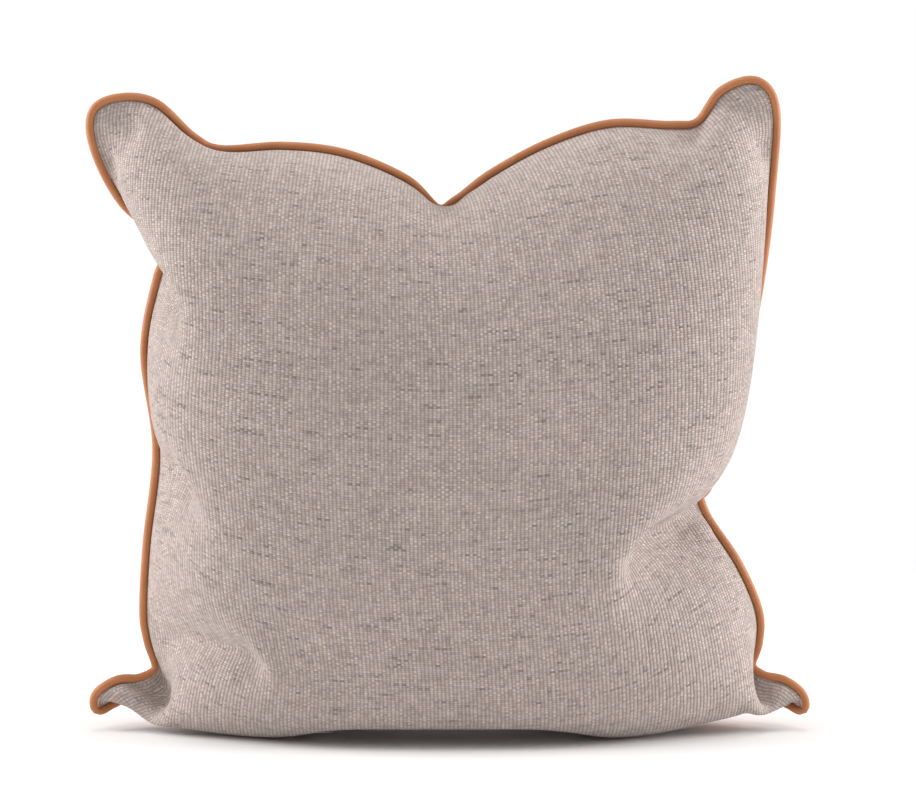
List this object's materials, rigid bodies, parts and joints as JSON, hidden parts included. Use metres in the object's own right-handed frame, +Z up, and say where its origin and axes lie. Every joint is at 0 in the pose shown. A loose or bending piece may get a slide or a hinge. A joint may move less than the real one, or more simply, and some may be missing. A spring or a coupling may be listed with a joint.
{
  "type": "throw pillow",
  "caption": "Square throw pillow with a woven front, leather back and piping, pinched corners that form ears, a zip across the back and a removable filled insert.",
  "frame": {"origin": "centre of the pillow's box at the surface it stands on", "axes": "+X to the right across the woven front, +Y from the woven front to the leather back, +Z up"},
  "size_m": [0.4989, 0.1699, 0.4498],
  "materials": {
    "woven_fabric": "matte",
    "tan_leather": "satin",
    "piping_leather": "satin",
    "cotton_cord": "matte",
    "thread": "satin",
    "zip_tape": "matte",
    "zip_metal": "satin",
    "ticking": "matte",
    "filling": "matte",
    "label": "matte"
  },
  "bodies": {
    "cushion": {"front_panel": "woven_fabric", "back_panel_upper": "tan_leather", "back_panel_lower": "tan_leather", "piping_cover": "piping_leather", "piping_cord": "cotton_cord", "seam_thread": "thread", "zip_tape_upper": "zip_tape", "zip_tape_lower": "zip_tape", "zip_teeth_upper": "zip_metal", "zip_teeth_lower": "zip_metal", "zip_top_stops": "zip_metal", "zip_bottom_stop": "zip_metal", "zip_thread_upper": "thread", "zip_thread_lower": "thread", "insert_front": "ticking", "insert_back": "ticking", "insert_seam_thread": "ticking", "insert_fill": "filling", "care_label": "label", "insert_label": "label"},
    "slider": {"zip_slider": "zip_metal"},
    "pull": {"zip_pull": "zip_metal"}
  },
  "joints": [
    {"name": "zip_travel", "type": "hinge", "parent": "cushion", "child": "slider", "pos_m": [0, -0.496, 0.06], "axis": [0, 0, 1], "range_deg": [0, 32.5]},
    {"name": "pull_flip", "type": "hinge", "parent": "slider", "child": "pull", "pos_m": [0.15837, 0.04625, 0.06], "axis": [0, 0, -1], "range_deg": [0, 170]}
  ]
}
